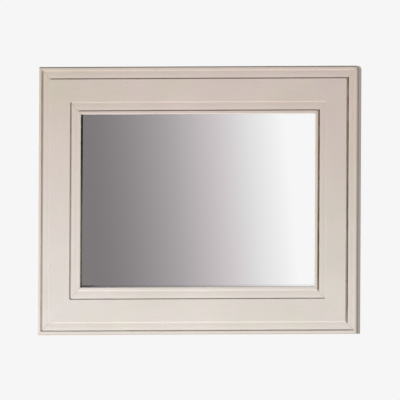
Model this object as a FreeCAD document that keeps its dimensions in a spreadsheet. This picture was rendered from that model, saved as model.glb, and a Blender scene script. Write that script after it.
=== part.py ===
import FreeCAD, Part
import math
import os
import re
import Sketcher

# A large wall mirror in a wide painted wood frame, hung landscape.
# The frame has four mitred members. Each is built up from three strips: an outer moulding with a
# rim and a sunk bead, a flat frieze board, and an inner moulding with a second sunk bead, the lip
# and the rebate that holds the mirror pane. The pane goes in from the back, on foam tape, under a
# card sheet and a hardboard back that turn buttons hold. Two ring hangers carry the mirror.
# +X is the viewer's right, -Y the front, +Z up. The origin is the middle of the bottom edge, at
# half the frame's depth. All lengths are in millimetres.

doc = FreeCAD.newDocument("Framed_mirror")

SIZES = {
    # the frame as a whole
    "frame_width": 1200,
    "frame_height": 900,
    "frame_depth": 27,
    # the widths of one member's bands, from the outer edge to the pane
    "rim_width": 12.5,
    "outer_bead_width": 29,
    "frieze_width": 77.5,
    "inner_bead_width": 30,
    "lip_width": 11,
    # the relief of the front
    "bed_sink": 3.5,
    "bead_crown": 0.8,
    "arris_radius": 0.9,
    "rim_radius": 4.5,
    "sight_radius": 2.5,
    # the strips behind the front
    "strip_thickness": 18,
    "back_leg_width": 22,
    "lip_thickness": 7,
    "rebate_width": 9,
    "tongue_from_front": 6,
    "tongue_thickness": 6,
    "tongue_length": 7,
    "joint_clearance": 0.1,
    "cut_overrun": 5,
    # loose biscuits in the mitres
    "biscuit_length": 56,
    "biscuit_width": 23,
    "biscuit_thickness": 4,
    # the pane and what lies before and behind it
    "pane_thickness": 4,
    "pane_clearance": 1.5,
    "tape_thickness": 1,
    "tape_width": 5,
    "card_thickness": 2,
    "card_inset": 1,
    # wood screws
    "screw_shank_radius": 1.75,
    "screw_length": 12,
    "screw_tip_length": 3,
    "screw_head_radius": 3.5,
    "screw_head_height": 2.2,
    "screw_head_edge": 0.8,
    "screw_crown_radius": 2.5,
    "recess_width": 1,
    "recess_span": 4,
    "recess_depth": 1.2,
    "pilot_clearance": 0.05,
    "pilot_overdepth": 1,
    # angle plates over the mitres
    "plate_inset": 60,
    "plate_arm": 75,
    "plate_width": 16,
    "plate_thickness": 2,
    "plate_corner_radius": 3,
    "plate_near_hole": 34,
    "plate_far_hole": 66,
    "plate_hole_clearance": 0.4,
    # turn buttons
    "button_length": 18,
    "button_radius": 5,
    "button_thickness": 1.5,
    "button_edge_radius": 0.4,
    "button_gap": 0.2,
    "button_hole_clearance": 0.1,
    "button_setback": 10,
    "rail_button_spacing": 300,
    "stile_button_spacing": 300,
    # ring hangers
    "hanger_gap": 65,
    "strap_width": 14,
    "strap_length": 38,
    "strap_tail": 9,
    "strap_thickness": 1.5,
    "strap_corner_radius": 5,
    "strap_near_hole": 15,
    "strap_far_hole": 30,
    "wire_radius": 1.5,
    "wire_clearance": 0.1,
    "ring_inner_width": 20,
    "ring_inner_length": 20,
    "ring_corner_radius": 3,
    # wall bumpers
    "bumper_radius": 6,
    "bumper_thickness": 2,
    "bumper_edge_radius": 0.6,
}

sheet = doc.addObject("Spreadsheet::Sheet", "Sizes")
for row, (alias, value) in enumerate(SIZES.items(), start=1):
    sheet.set(f"A{row}", alias)
    sheet.set(f"B{row}", str(value))
    sheet.setAlias(f"B{row}", alias)
doc.recompute()

# Places that several pieces share, in words of the sheet. An inset is measured from the frame's
# outer edge towards the pane, and a depth from the frame's front face towards the wall.
FRIEZE_START = "(rim_width + outer_bead_width)"
FRIEZE_END = f"({FRIEZE_START} + frieze_width)"
FRIEZE_MIDDLE = f"({FRIEZE_START} + frieze_width / 2)"
LIP_START = f"({FRIEZE_END} + inner_bead_width)"
SIGHT_EDGE = f"({LIP_START} + lip_width)"
REBATE_EDGE = f"({SIGHT_EDGE} - rebate_width)"
PANE_EDGE = f"({REBATE_EDGE} + pane_clearance)"
TONGUE_BACK = "(tongue_from_front + tongue_thickness)"
TONGUE_MIDDLE = "(tongue_from_front + tongue_thickness / 2)"
PANE_FRONT = "(lip_thickness + tape_thickness)"
PANE_BACK = f"({PANE_FRONT} + pane_thickness)"
PANEL_FRONT = f"({PANE_BACK} + card_thickness)"
PILOT_DEPTH = "(screw_length + pilot_overdepth)"
PLATE_BACK = "(strip_thickness + plate_thickness)"
PLATE_HOLE_LINE = "(plate_inset + plate_width / 2)"
BUTTON_INSET = f"({REBATE_EDGE} - button_setback)"
BUTTON_SEAT = "(strip_thickness + button_gap)"
BUTTON_SCREW_SEAT = f"({BUTTON_SEAT} + button_thickness + button_gap)"
HANGER_DROP = "(plate_inset + plate_arm + hanger_gap)"
ROLL_RADIUS = "(wire_radius + wire_clearance + strap_thickness)"
STRAP_BACK = "(strip_thickness + strap_thickness)"

# Each member as its length, where its outer edge starts, and its turn in degrees about the depth.
MEMBERS = {
    "top": ("frame_width", "frame_width / 2", "frame_height", 180),
    "bottom": ("frame_width", "-frame_width / 2", "0", 0),
    "left": ("frame_height", "-frame_width / 2", "frame_height", 90),
    "right": ("frame_height", "frame_width / 2", "0", -90),
}
# Each corner as its side, whether it is at the top, and its turn in degrees.
CORNERS = {
    "top_left": (-1, True, 90),
    "top_right": (1, True, 180),
    "bottom_left": (-1, False, 0),
    "bottom_right": (1, False, -90),
}
# Each turn button as its member and its place along it, counted in steps from the middle.
BUTTONS = {
    "top_left": ("top", 1),
    "top_middle": ("top", 0),
    "top_right": ("top", -1),
    "bottom_left": ("bottom", -1),
    "bottom_middle": ("bottom", 0),
    "bottom_right": ("bottom", 1),
    "left_upper": ("left", -0.5),
    "left_lower": ("left", 0.5),
    "right_upper": ("right", 0.5),
    "right_lower": ("right", -0.5),
}
HANGER_SIDES = {"left": -1, "right": 1}

WORD = re.compile("[a-z_]+")
NEAR = 1e-4
# A sketch numbers the points of its lines and arcs: 1 the start, 2 the end, 3 the centre.


def in_sheet(text):
    """An expression with the sheet's name before each of its aliases."""
    return WORD.sub(lambda word: f"Sizes.{word[0]}" if word[0] in SIZES else word[0], text)


def size(text):
    """The present value of an expression, in millimetres."""
    value = sheet.evalExpression(in_sheet(text))
    return float(getattr(value, "Value", value))


def place(thing, across, depth, up, turn=0):
    """Put a piece's own origin in the frame and turn it about the depth axis."""
    thing.Placement.Rotation = FreeCAD.Rotation(FreeCAD.Vector(0, 1, 0), turn)
    thing.setExpression("Placement.Base.x", in_sheet(across))
    thing.setExpression("Placement.Base.y", in_sheet(f"{depth} - frame_depth / 2"))
    thing.setExpression("Placement.Base.z", in_sheet(up))


def place_in_corner(thing, corner, inset, depth):
    side, at_top, turn = CORNERS[corner]
    across = f"{side} * (frame_width / 2 - {inset})"
    up = f"frame_height - {inset}" if at_top else inset
    place(thing, across, depth, up, turn)


def new_body(name):
    body = doc.addObject("PartDesign::Body", name)
    body.Label = name
    return body


def new_sketch(body, name, plane, depth="0"):
    """A sketch on an origin plane of the body, at a depth behind it."""
    sketch = body.newObject("Sketcher::SketchObject", name)
    support = [feature for feature in body.Origin.OriginFeatures if feature.Role == plane]
    sketch.AttachmentSupport = [(support[0], "")]
    sketch.MapMode = "FlatFace"
    if depth != "0":
        sketch.setExpression("AttachmentOffset.Base.z", in_sheet(f"-({depth})"))
    return sketch


def hold(sketch, kind, geometry, point, text):
    """Hold a point at an expression's distance from the sketch's origin, along x or y."""
    value = size(text)
    ends = (-1, 1, geometry, point)
    if value < 0:
        ends = (geometry, point, -1, 1)
        text = f"-({text})"
    index = sketch.addConstraint(Sketcher.Constraint(kind, *ends, abs(value)))
    if text != "0":
        sketch.setExpression(f"Constraints[{index}]", in_sheet(text))


def add_arc(sketch, start, end, radius, swell):
    """An arc of up to a half circle. It swells to the left of its way for 1, to the right for -1."""
    chord = end - start
    left = FreeCAD.Vector(-chord.y, chord.x, 0).normalize()
    rise = math.sqrt(max(radius ** 2 - chord.Length ** 2 / 4, 0))
    centre = (start + end) / 2 - left * rise * swell
    first, last = (end, start) if swell > 0 else (start, end)
    angles = [math.atan2(point.y - centre.y, point.x - centre.x) for point in (first, last)]
    if angles[1] < angles[0]:
        angles[1] += 2 * math.pi
    circle = Part.Circle(centre, FreeCAD.Vector(0, 0, 1), radius)
    return sketch.addGeometry(Part.ArcOfCircle(circle, *angles), False)


def outline(sketch, corners):
    """A closed outline through corners (x, y), each held to expressions.

    A corner (x, y, radius, swell) starts an arc. A radius of None makes it a half circle whose
    two ends lie in line along x or y.
    """
    points = [FreeCAD.Vector(size(corner[0]), size(corner[1]), 0) for corner in corners]
    sides = []
    for index, corner in enumerate(corners):
        start, end = points[index], points[(index + 1) % len(points)]
        if len(corner) == 2:
            sides.append((sketch.addGeometry(Part.LineSegment(start, end), False), 1, 2))
            continue
        radius = (end - start).Length / 2 if corner[2] is None else size(corner[2])
        arc = add_arc(sketch, start, end, radius, corner[3])
        sides.append((arc, 2, 1) if corner[3] > 0 else (arc, 1, 2))
    for index, (geometry, _, end) in enumerate(sides):
        following, start, _ = sides[(index + 1) % len(sides)]
        sketch.addConstraint(Sketcher.Constraint("Coincident", geometry, end, following, start))
    for (geometry, start, _), corner in zip(sides, corners):
        hold(sketch, "DistanceX", geometry, start, corner[0])
        hold(sketch, "DistanceY", geometry, start, corner[1])
    for index, corner in enumerate(corners):
        if len(corner) == 2:
            continue
        geometry = sides[index][0]
        following = corners[(index + 1) % len(corners)]
        if corner[2] is not None:
            held = sketch.addConstraint(Sketcher.Constraint("Radius", geometry, size(corner[2])))
            sketch.setExpression(f"Constraints[{held}]", in_sheet(corner[2]))
        elif corner[0] == following[0]:
            hold(sketch, "DistanceX", geometry, 3, corner[0])
        else:
            hold(sketch, "DistanceY", geometry, 3, corner[1])


def round_hole(sketch, across, up, radius):
    """A circle in a sketch, its centre and radius held to expressions."""
    centre = FreeCAD.Vector(size(across), size(up), 0)
    circle = Part.Circle(centre, FreeCAD.Vector(0, 0, 1), size(radius))
    geometry = sketch.addGeometry(circle, False)
    hold(sketch, "DistanceX", geometry, 3, across)
    hold(sketch, "DistanceY", geometry, 3, up)
    held = sketch.addConstraint(Sketcher.Constraint("Radius", geometry, size(radius)))
    sketch.setExpression(f"Constraints[{held}]", in_sheet(radius))


def pad(body, sketch, length, side="One side", reversed_side=False):
    feature = body.newObject("PartDesign::Pad", f"{body.Name}_pad")
    feature.Profile = sketch
    feature.SideType = side
    feature.Reversed = reversed_side
    feature.setExpression("Length", in_sheet(length))
    sketch.Visibility = False
    doc.recompute()
    return feature


def pocket(body, sketch, length=None):
    """A cut to both sides of its sketch, right through where no length is given."""
    before = body.Shape.Volume
    feature = body.newObject("PartDesign::Pocket", f"{sketch.Name}_pocket")
    feature.Profile = sketch
    feature.SideType = "Symmetric"
    if length is None:
        feature.Type = "ThroughAll"
    else:
        feature.setExpression("Length", in_sheet(length))
    sketch.Visibility = False
    doc.recompute()
    if body.Shape.Volume > before - NEAR:
        raise RuntimeError(f"{feature.Name} cuts nothing")
    return feature


def round_edges(body, base, radius, wanted):
    """Round those edges of a feature that satisfy a test."""
    edges = enumerate(base.Shape.Edges, start=1)
    names = [f"Edge{number}" for number, edge in edges if wanted(edge)]
    if not names:
        raise RuntimeError(f"no edge to round on {body.Name}")
    feature = body.newObject("PartDesign::Fillet", f"{body.Name}_{radius}")
    feature.Base = (base, names)
    feature.setExpression("Radius", in_sheet(radius))
    doc.recompute()
    return feature


def long_edge_at(*places):
    """A test for a member's long edges at some (depth, inset) places of its profile."""
    wanted = [(size(depth), size(inset)) for depth, inset in places]

    def lies_there(edge):
        ends = [vertex.Point for vertex in edge.Vertexes]
        return any(all(abs(end.y - y) + abs(end.z - z) < NEAR for end in ends) for y, z in wanted)

    return lies_there


def runs_through(edge):
    """Whether a straight edge runs along the depth."""
    return edge.BoundBox.YLength > NEAR and abs(edge.BoundBox.YLength - edge.Length) < NEAR


def grouped(name, source, places):
    """One node of several like solids: copies of a body's shape at (x, y, z) places."""
    solids = []
    for spot in places:
        solid = source.Shape.copy()
        solid.translate(FreeCAD.Vector(*spot) - source.Placement.Base)
        solids.append(solid)
    group = doc.addObject("Part::Feature", name)
    group.Label = name
    group.Shape = Part.makeCompound(solids)
    group.Placement = FreeCAD.Placement()
    return group


def in_frame(side, along, inset):
    """A place along a member and in from its outer edge, as the frame's (across, up)."""
    return {
        "top": (f"frame_width / 2 - ({along})", f"frame_height - {inset}"),
        "bottom": (f"{along} - frame_width / 2", inset),
        "left": (f"{inset} - frame_width / 2", f"frame_height - ({along})"),
        "right": (f"frame_width / 2 - {inset}", along),
    }[side]


def spots(side, places, depth):
    """Places on a member at a depth, in millimetres of the frame."""
    found = []
    for along, inset in places:
        across, up = in_frame(side, along, inset)
        found.append((size(across), size(f"{depth} - frame_depth / 2"), size(up)))
    return found


def plate_screw_places(length):
    """The four screws of two angle plates in one member, as (along, inset)."""
    near = "plate_inset + plate_near_hole"
    far = "plate_inset + plate_far_hole"
    steps = (near, far, f"{length} - ({near})", f"{length} - ({far})")
    return [(step, PLATE_HOLE_LINE) for step in steps]


def button_place(side, step):
    """The pivot of a turn button on a member, as (along, inset)."""
    length = MEMBERS[side][0]
    spacing = "stile_button_spacing" if length == "frame_height" else "rail_button_spacing"
    return f"{length} / 2 + {step} * {spacing}", BUTTON_INSET


def button_places(side):
    return [button_place(side, step) for member, step in BUTTONS.values() if member == side]


def hanger_screw_places(side):
    """The two screws of a hanger in its stile, as (along, inset)."""
    holes = ("strap_near_hole", "strap_far_hole")
    if side == "left":
        return [(f"{HANGER_DROP} + {hole}", FRIEZE_MIDDLE) for hole in holes]
    return [(f"frame_height - {HANGER_DROP} - {hole}", FRIEZE_MIDDLE) for hole in holes]


def mitre(body, length):
    """Cut both ends of a member's strip at 45 degrees, from the frame's outer corners."""
    sketch = new_sketch(body, f"{body.Name}_mitres", "XZ_Plane")
    low = "-cut_overrun"
    high = f"{SIGHT_EDGE} + cut_overrun"
    outline(sketch, [(low, low), (high, high), (low, high)])
    outline(sketch, [(f"{length} + cut_overrun", low), (f"{length} + cut_overrun", high),
                     (f"{length} - ({high})", high)])
    pocket(body, sketch)


def pilot_holes(body, places):
    """Screw holes from the back of a strip."""
    sketch = new_sketch(body, f"{body.Name}_pilots", "XZ_Plane", "strip_thickness")
    for along, inset in places:
        round_hole(sketch, along, inset, "screw_shank_radius + pilot_clearance")
    pocket(body, sketch, f"2 * {PILOT_DEPTH}")


def lens(sketch, across, up, lean, spare="0"):
    """A biscuit's outline, its long axis leaning along +45 degrees for 1 and -45 for -1."""
    half = f"(biscuit_length / 2 + {spare}) / sqrt(2)"
    crown = f"(biscuit_width / 2 + {spare})"
    radius = f"((biscuit_length / 2 + {spare})^2 + {crown}^2) / (2 * {crown})"
    outline(sketch, [
        (f"{across} - {lean} * {half}", f"{up} - {half}", radius, -1),
        (f"{across} + {lean} * {half}", f"{up} + {half}", radius, -1),
    ])


def bead_radius(width):
    """The radius of a bead's shallow arc from its width and crown."""
    return f"(({width} / 2)^2 + bead_crown^2) / (2 * bead_crown)"


def outer_moulding(side):
    """The outer strip: the rim, the sunk bead, the back leg and a tongue for the frieze."""
    length, across, up, turn = MEMBERS[side]
    body = new_body(f"outer_moulding_{side}")
    sketch = new_sketch(body, f"{body.Name}_profile", "YZ_Plane")
    tongue_end = f"({FRIEZE_START} + tongue_length)"
    outline(sketch, [
        ("0", "0"),
        ("0", "rim_width"),
        ("bed_sink", "rim_width", bead_radius("outer_bead_width"), 1),
        ("bed_sink", FRIEZE_START),
        ("tongue_from_front", FRIEZE_START),
        ("tongue_from_front", tongue_end),
        (TONGUE_BACK, tongue_end),
        (TONGUE_BACK, FRIEZE_START),
        ("strip_thickness", FRIEZE_START),
        ("strip_thickness", "back_leg_width"),
        ("frame_depth", "back_leg_width"),
        ("frame_depth", "0"),
    ])
    strip = pad(body, sketch, length)
    strip = round_edges(body, strip, "rim_radius", long_edge_at(("0", "0")))
    round_edges(body, strip, "arris_radius", long_edge_at(("0", "rim_width")))
    mitre(body, length)
    place(body, across, "0", up, turn)
    return body


def frieze_board(name, side):
    """The flat board, grooved along both edges and slotted for a biscuit at both ends."""
    length, across, up, turn = MEMBERS[side]
    body = new_body(name)
    sketch = new_sketch(body, f"{name}_profile", "YZ_Plane")
    groove_front = "(tongue_from_front - joint_clearance)"
    groove_back = f"({TONGUE_BACK} + joint_clearance)"
    groove = "(tongue_length + joint_clearance)"
    outline(sketch, [
        ("0", FRIEZE_START),
        ("0", FRIEZE_END),
        (groove_front, FRIEZE_END),
        (groove_front, f"{FRIEZE_END} - {groove}"),
        (groove_back, f"{FRIEZE_END} - {groove}"),
        (groove_back, FRIEZE_END),
        ("strip_thickness", FRIEZE_END),
        ("strip_thickness", FRIEZE_START),
        (groove_back, FRIEZE_START),
        (groove_back, f"{FRIEZE_START} + {groove}"),
        (groove_front, f"{FRIEZE_START} + {groove}"),
        (groove_front, FRIEZE_START),
    ])
    board = pad(body, sketch, length)
    round_edges(body, board, "arris_radius", long_edge_at(("0", FRIEZE_START), ("0", FRIEZE_END)))
    mitre(body, length)
    slots = new_sketch(body, f"{name}_slots", "XZ_Plane", TONGUE_MIDDLE)
    lens(slots, FRIEZE_MIDDLE, FRIEZE_MIDDLE, 1, "joint_clearance")
    lens(slots, f"({length} - {FRIEZE_MIDDLE})", FRIEZE_MIDDLE, -1, "joint_clearance")
    pocket(body, slots, "biscuit_thickness + 2 * joint_clearance")
    holes = plate_screw_places(length)
    if side in HANGER_SIDES:
        holes += hanger_screw_places(side)
    pilot_holes(body, holes)
    place(body, across, "0", up, turn)
    return body


def inner_moulding(side):
    """The inner strip: the sunk bead, the lip, the pane's rebate and a tongue for the frieze."""
    length, across, up, turn = MEMBERS[side]
    body = new_body(f"inner_moulding_{side}")
    sketch = new_sketch(body, f"{body.Name}_profile", "YZ_Plane")
    tongue_end = f"({FRIEZE_END} - tongue_length)"
    outline(sketch, [
        ("bed_sink", FRIEZE_END, bead_radius("inner_bead_width"), 1),
        ("bed_sink", LIP_START),
        ("0", LIP_START),
        ("0", SIGHT_EDGE),
        ("lip_thickness", SIGHT_EDGE),
        ("lip_thickness", REBATE_EDGE),
        ("strip_thickness", REBATE_EDGE),
        ("strip_thickness", FRIEZE_END),
        (TONGUE_BACK, FRIEZE_END),
        (TONGUE_BACK, tongue_end),
        ("tongue_from_front", tongue_end),
        ("tongue_from_front", FRIEZE_END),
    ])
    strip = pad(body, sketch, length)
    strip = round_edges(body, strip, "sight_radius", long_edge_at(("0", SIGHT_EDGE)))
    round_edges(body, strip, "arris_radius", long_edge_at(("0", LIP_START)))
    mitre(body, length)
    pilot_holes(body, button_places(side))
    place(body, across, "0", up, turn)
    return body


def mitre_biscuit(corner):
    """A pressed beech biscuit, half in each of two frieze boards."""
    body = new_body(f"mitre_biscuit_{corner}")
    sketch = new_sketch(body, f"{body.Name}_outline", "XZ_Plane")
    lens(sketch, "0", "0", 1)
    pad(body, sketch, "biscuit_thickness", "Symmetric")
    place_in_corner(body, corner, FRIEZE_MIDDLE, TONGUE_MIDDLE)
    return body


def corner_plate(corner):
    """A flat steel angle plate over a mitre, with two screw holes in each arm."""
    body = new_body(f"corner_plate_{corner}")
    sketch = new_sketch(body, f"{body.Name}_outline", "XZ_Plane")
    outline(sketch, [
        ("0", "0"), ("plate_arm", "0"), ("plate_arm", "plate_width"),
        ("plate_width", "plate_width"), ("plate_width", "plate_arm"), ("0", "plate_arm"),
    ])
    for hole in ("plate_near_hole", "plate_far_hole"):
        for across, up in ((hole, "plate_width / 2"), ("plate_width / 2", hole)):
            round_hole(sketch, across, up, "screw_shank_radius + plate_hole_clearance")
    plate = pad(body, sketch, "plate_thickness", reversed_side=True)
    arm = size("plate_arm")

    def outer_corner(edge):
        ends = [vertex.Point for vertex in edge.Vertexes]
        far = all(max(end.x, end.z) > arm - NEAR or max(end.x, end.z) < NEAR for end in ends)
        return runs_through(edge) and far

    round_edges(body, plate, "plate_corner_radius", outer_corner)
    place_in_corner(body, corner, "plate_inset", "strip_thickness")
    return body


def screw():
    """One cross-recessed pan-head wood screw, its head's seat at the origin and its tip forwards."""
    body = new_body("screw")
    profile = new_sketch(body, "screw_profile", "XY_Plane")
    outline(profile, [
        ("0", "-screw_length"),
        ("screw_shank_radius", "screw_tip_length - screw_length"),
        ("screw_shank_radius", "0"),
        ("screw_head_radius", "0"),
        ("screw_head_radius", "screw_head_edge"),
        ("screw_crown_radius", "screw_head_height"),
        ("0", "screw_head_height"),
    ])
    turned = body.newObject("PartDesign::Revolution", "screw_turned")
    turned.Profile = profile
    turned.ReferenceAxis = (profile, ["V_Axis"])
    turned.Angle = 360
    profile.Visibility = False
    doc.recompute()
    for name, across, up in (("level", "recess_span", "recess_width"),
                             ("upright", "recess_width", "recess_span")):
        slot = new_sketch(body, f"screw_{name}_slot", "XZ_Plane", "screw_head_height")
        outline(slot, [
            (f"-{across} / 2", f"-{up} / 2"), (f"{across} / 2", f"-{up} / 2"),
            (f"{across} / 2", f"{up} / 2"), (f"-{across} / 2", f"{up} / 2"),
        ])
        pocket(body, slot, "2 * recess_depth")
    return body


def flat_sheet(name, edge, front, thickness):
    """A rectangular sheet whose edges keep an inset from the frame's outer edges."""
    body = new_body(name)
    sketch = new_sketch(body, f"{name}_outline", "XZ_Plane")
    half = f"(frame_width / 2 - {edge})"
    high = f"(frame_height - {edge})"
    outline(sketch, [(f"-{half}", edge), (half, edge), (half, high), (f"-{half}", high)])
    pad(body, sketch, thickness, reversed_side=True)
    place(body, "0", front, "0")
    return body


def glazing_tape(side):
    """A strip of dark foam tape between the lip and the pane. The upright ones fit between."""
    length, across, up, turn = MEMBERS[side]
    body = new_body(f"glazing_tape_{side}")
    sketch = new_sketch(body, f"{body.Name}_outline", "XZ_Plane")
    start = PANE_EDGE if length == "frame_width" else f"({PANE_EDGE} + tape_width)"
    inner = f"({PANE_EDGE} + tape_width)"
    outline(sketch, [
        (start, PANE_EDGE), (f"{length} - {start}", PANE_EDGE),
        (f"{length} - {start}", inner), (start, inner),
    ])
    pad(body, sketch, "tape_thickness", reversed_side=True)
    place(body, across, "lip_thickness", up, turn)
    return body


def turn_button(name):
    """A steel turn button, closed over the back panel, its pivot hole at its origin."""
    side, step = BUTTONS[name]
    body = new_body(f"turn_button_{name}")
    sketch = new_sketch(body, f"{body.Name}_outline", "XZ_Plane")
    outline(sketch, [
        ("-button_radius", "0"),
        ("-button_radius", "button_length", None, 1),
        ("button_radius", "button_length"),
        ("button_radius", "0", None, 1),
    ])
    round_hole(sketch, "0", "0", "screw_shank_radius + button_hole_clearance")
    plate = pad(body, sketch, "button_thickness", reversed_side=True)
    back = size("button_thickness")
    hole = size("screw_shank_radius + button_hole_clearance")

    def outer_back_edge(edge):
        box = edge.BoundBox
        in_hole = edge.isClosed() and box.XLength < 2 * hole + NEAR
        return box.YMin > back - NEAR and not in_hole

    round_edges(body, plate, "button_edge_radius", outer_back_edge)
    across, up = in_frame(side, *button_place(side, step))
    place(body, across, BUTTON_SEAT, up, MEMBERS[side][3])
    return body


def hanger_plate(side):
    """A steel strap, rolled round the ring's straight bar at its top and closed on itself."""
    body = new_body(f"hanger_plate_{side}")
    sketch = new_sketch(body, f"{body.Name}_profile", "YZ_Plane")
    roll = f"(2 * {ROLL_RADIUS})"
    outline(sketch, [
        ("0", "-strap_length"), ("0", "0", None, 1), (roll, "0"),
        ("strap_thickness", "-strap_tail"), ("strap_thickness", "-strap_length"),
    ])
    round_hole(sketch, ROLL_RADIUS, "0", "wire_radius + wire_clearance")
    strap = pad(body, sketch, "strap_width", "Symmetric")
    half, low = size("strap_width / 2"), -size("strap_length")

    def low_corner(edge):
        box = edge.BoundBox
        outermost = min(abs(box.XMin), abs(box.XMax)) > half - NEAR
        return runs_through(edge) and outermost and box.ZMax < low + NEAR

    round_edges(body, strap, "strap_corner_radius", low_corner)
    holes = new_sketch(body, f"{body.Name}_holes", "XZ_Plane")
    for hole in ("strap_near_hole", "strap_far_hole"):
        round_hole(holes, "0", f"-{hole}", "screw_shank_radius + plate_hole_clearance")
    pocket(body, holes)
    place(body, f"{HANGER_SIDES[side]} * (frame_width / 2 - {FRIEZE_MIDDLE})",
          "strip_thickness", f"frame_height - {HANGER_DROP}")
    return body


def hanger_ring(side):
    """A D ring of round wire, its straight bar at the origin and its bow up."""
    body = new_body(f"hanger_ring_{side}")
    path = new_sketch(body, f"{body.Name}_path", "XZ_Plane")
    half = "(ring_inner_width / 2 + wire_radius)"
    bar = f"({half} - ring_corner_radius)"
    bow = f"(ring_inner_length + wire_radius - {half})"
    outline(path, [
        ("0", "0"),
        (bar, "0", "ring_corner_radius", -1),
        (half, "ring_corner_radius"),
        (half, bow, None, -1),
        (f"-{half}", bow),
        (f"-{half}", "ring_corner_radius", "ring_corner_radius", -1),
        (f"-{bar}", "0"),
    ])
    wire = new_sketch(body, f"{body.Name}_wire", "YZ_Plane")
    round_hole(wire, "0", "0", "wire_radius")
    pipe = body.newObject("PartDesign::AdditivePipe", f"{body.Name}_pipe")
    pipe.Profile = wire
    pipe.Spine = path
    path.Visibility = False
    wire.Visibility = False
    place(body, f"{HANGER_SIDES[side]} * (frame_width / 2 - {FRIEZE_MIDDLE})",
          f"(strip_thickness + {ROLL_RADIUS})", f"frame_height - {HANGER_DROP}")
    return body


def wall_bumper(corner):
    """A round soft bumper, stuck to the back leg."""
    body = new_body(f"wall_bumper_{corner}")
    sketch = new_sketch(body, f"{body.Name}_outline", "XZ_Plane")
    round_hole(sketch, "0", "0", "bumper_radius")
    disc = pad(body, sketch, "bumper_thickness", reversed_side=True)
    back = size("bumper_thickness")
    round_edges(body, disc, "bumper_edge_radius", lambda edge: edge.BoundBox.YMin > back - NEAR)
    place_in_corner(body, corner, "(back_leg_width / 2)", "frame_depth")
    return body


nodes = []
for side in MEMBERS:
    nodes.append(outer_moulding(side))
for name, side in (("top_rail", "top"), ("bottom_rail", "bottom"),
                   ("left_stile", "left"), ("right_stile", "right")):
    nodes.append(frieze_board(name, side))
for side in MEMBERS:
    nodes.append(inner_moulding(side))
    nodes.append(glazing_tape(side))
for corner in CORNERS:
    nodes.append(mitre_biscuit(corner))
    nodes.append(corner_plate(corner))
    nodes.append(wall_bumper(corner))
nodes.append(flat_sheet("mirror_pane", PANE_EDGE, PANE_FRONT, "pane_thickness"))
nodes.append(flat_sheet("card_sheet", f"({PANE_EDGE} + card_inset)", PANE_BACK, "card_thickness"))
nodes.append(flat_sheet("back_panel", PANE_EDGE, PANEL_FRONT,
                        f"strip_thickness - {PANEL_FRONT}"))
for name in BUTTONS:
    nodes.append(turn_button(name))
for side in HANGER_SIDES:
    nodes.append(hanger_plate(side))
    nodes.append(hanger_ring(side))
doc.recompute()

master_screw = screw()
plate_spots = []
button_spots = []
hanger_spots = []
for side, (length, _, _, _) in MEMBERS.items():
    plate_spots += spots(side, plate_screw_places(length), PLATE_BACK)
    button_spots += spots(side, button_places(side), BUTTON_SCREW_SEAT)
for side in HANGER_SIDES:
    hanger_spots += spots(side, hanger_screw_places(side), STRAP_BACK)
nodes.append(grouped("corner_plate_screws", master_screw, plate_spots))
nodes.append(grouped("turn_button_screws", master_screw, button_spots))
nodes.append(grouped("hanger_screws", master_screw, hanger_spots))
doc.recompute()

for thing in doc.Objects:
    if "Invalid" in thing.State or "Error" in thing.State:
        raise RuntimeError(f"{thing.Name} failed: {thing.State}")
for node in nodes:
    if node.Shape.isNull() or not node.Shape.isValid():
        raise RuntimeError(f"{node.Label} has no valid shape")

os.makedirs("parts", exist_ok=True)
for node in nodes:
    node.Shape.exportStep(f"parts/{node.Label}.step")
print(len(nodes), "sub-parts written")
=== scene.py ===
import math
from functools import partial

import bmesh
import bpy
from mathutils import Matrix, Vector


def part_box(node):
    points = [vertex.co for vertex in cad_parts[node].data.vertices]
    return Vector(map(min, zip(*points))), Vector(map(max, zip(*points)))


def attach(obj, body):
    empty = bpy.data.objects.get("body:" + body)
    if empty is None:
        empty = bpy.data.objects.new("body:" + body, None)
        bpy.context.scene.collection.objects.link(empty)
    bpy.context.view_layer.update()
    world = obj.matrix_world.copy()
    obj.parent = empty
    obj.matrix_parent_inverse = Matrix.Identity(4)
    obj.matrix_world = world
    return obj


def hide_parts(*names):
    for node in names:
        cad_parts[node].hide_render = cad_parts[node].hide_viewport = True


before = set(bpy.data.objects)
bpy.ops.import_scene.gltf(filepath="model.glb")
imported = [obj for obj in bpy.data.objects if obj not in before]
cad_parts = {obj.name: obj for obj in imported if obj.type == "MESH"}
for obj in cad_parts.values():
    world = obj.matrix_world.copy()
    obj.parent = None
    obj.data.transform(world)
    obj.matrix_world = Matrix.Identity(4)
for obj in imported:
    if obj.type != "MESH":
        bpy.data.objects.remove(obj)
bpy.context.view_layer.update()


# ---- The painted frame ----
# Four mitred members, each glued up from three strips of pine: an outer moulding with the rim and a
# sunk bead, a flat frieze board, and an inner moulding with a second bead, the lip and the rebate.
# Each strip was planed to its profile on a spindle, mitred, glued, filled and brushed off-white.

FRAME_WIDTH = 1.2
FRAME_HEIGHT = 0.9
FRAME_DEPTH = 0.027
RIM_END = 0.0125
FRIEZE_START = 0.0415
FRIEZE_END = 0.119
LIP_START = 0.149
SIGHT_EDGE = 0.16
REBATE_EDGE = 0.151
BED_SINK = 0.0035
BEAD_CROWN = 0.0008
STRIP_THICKNESS = 0.018
BACK_LEG_WIDTH = 0.022
LIP_THICKNESS = 0.007
TONGUE_FRONT = 0.006
TONGUE_BACK = 0.012
TONGUE_LENGTH = 0.007
RIM_ROUNDING = 0.0045
ARRIS_ROUNDING = 0.0009
SIGHT_ROUNDING = 0.0025
ARC_STEPS = 5
BEAD_STEPS = 22
SUPPORT_GAPS = (0.0006, 0.0015)
LONGEST_SPAN = 0.012


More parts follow.
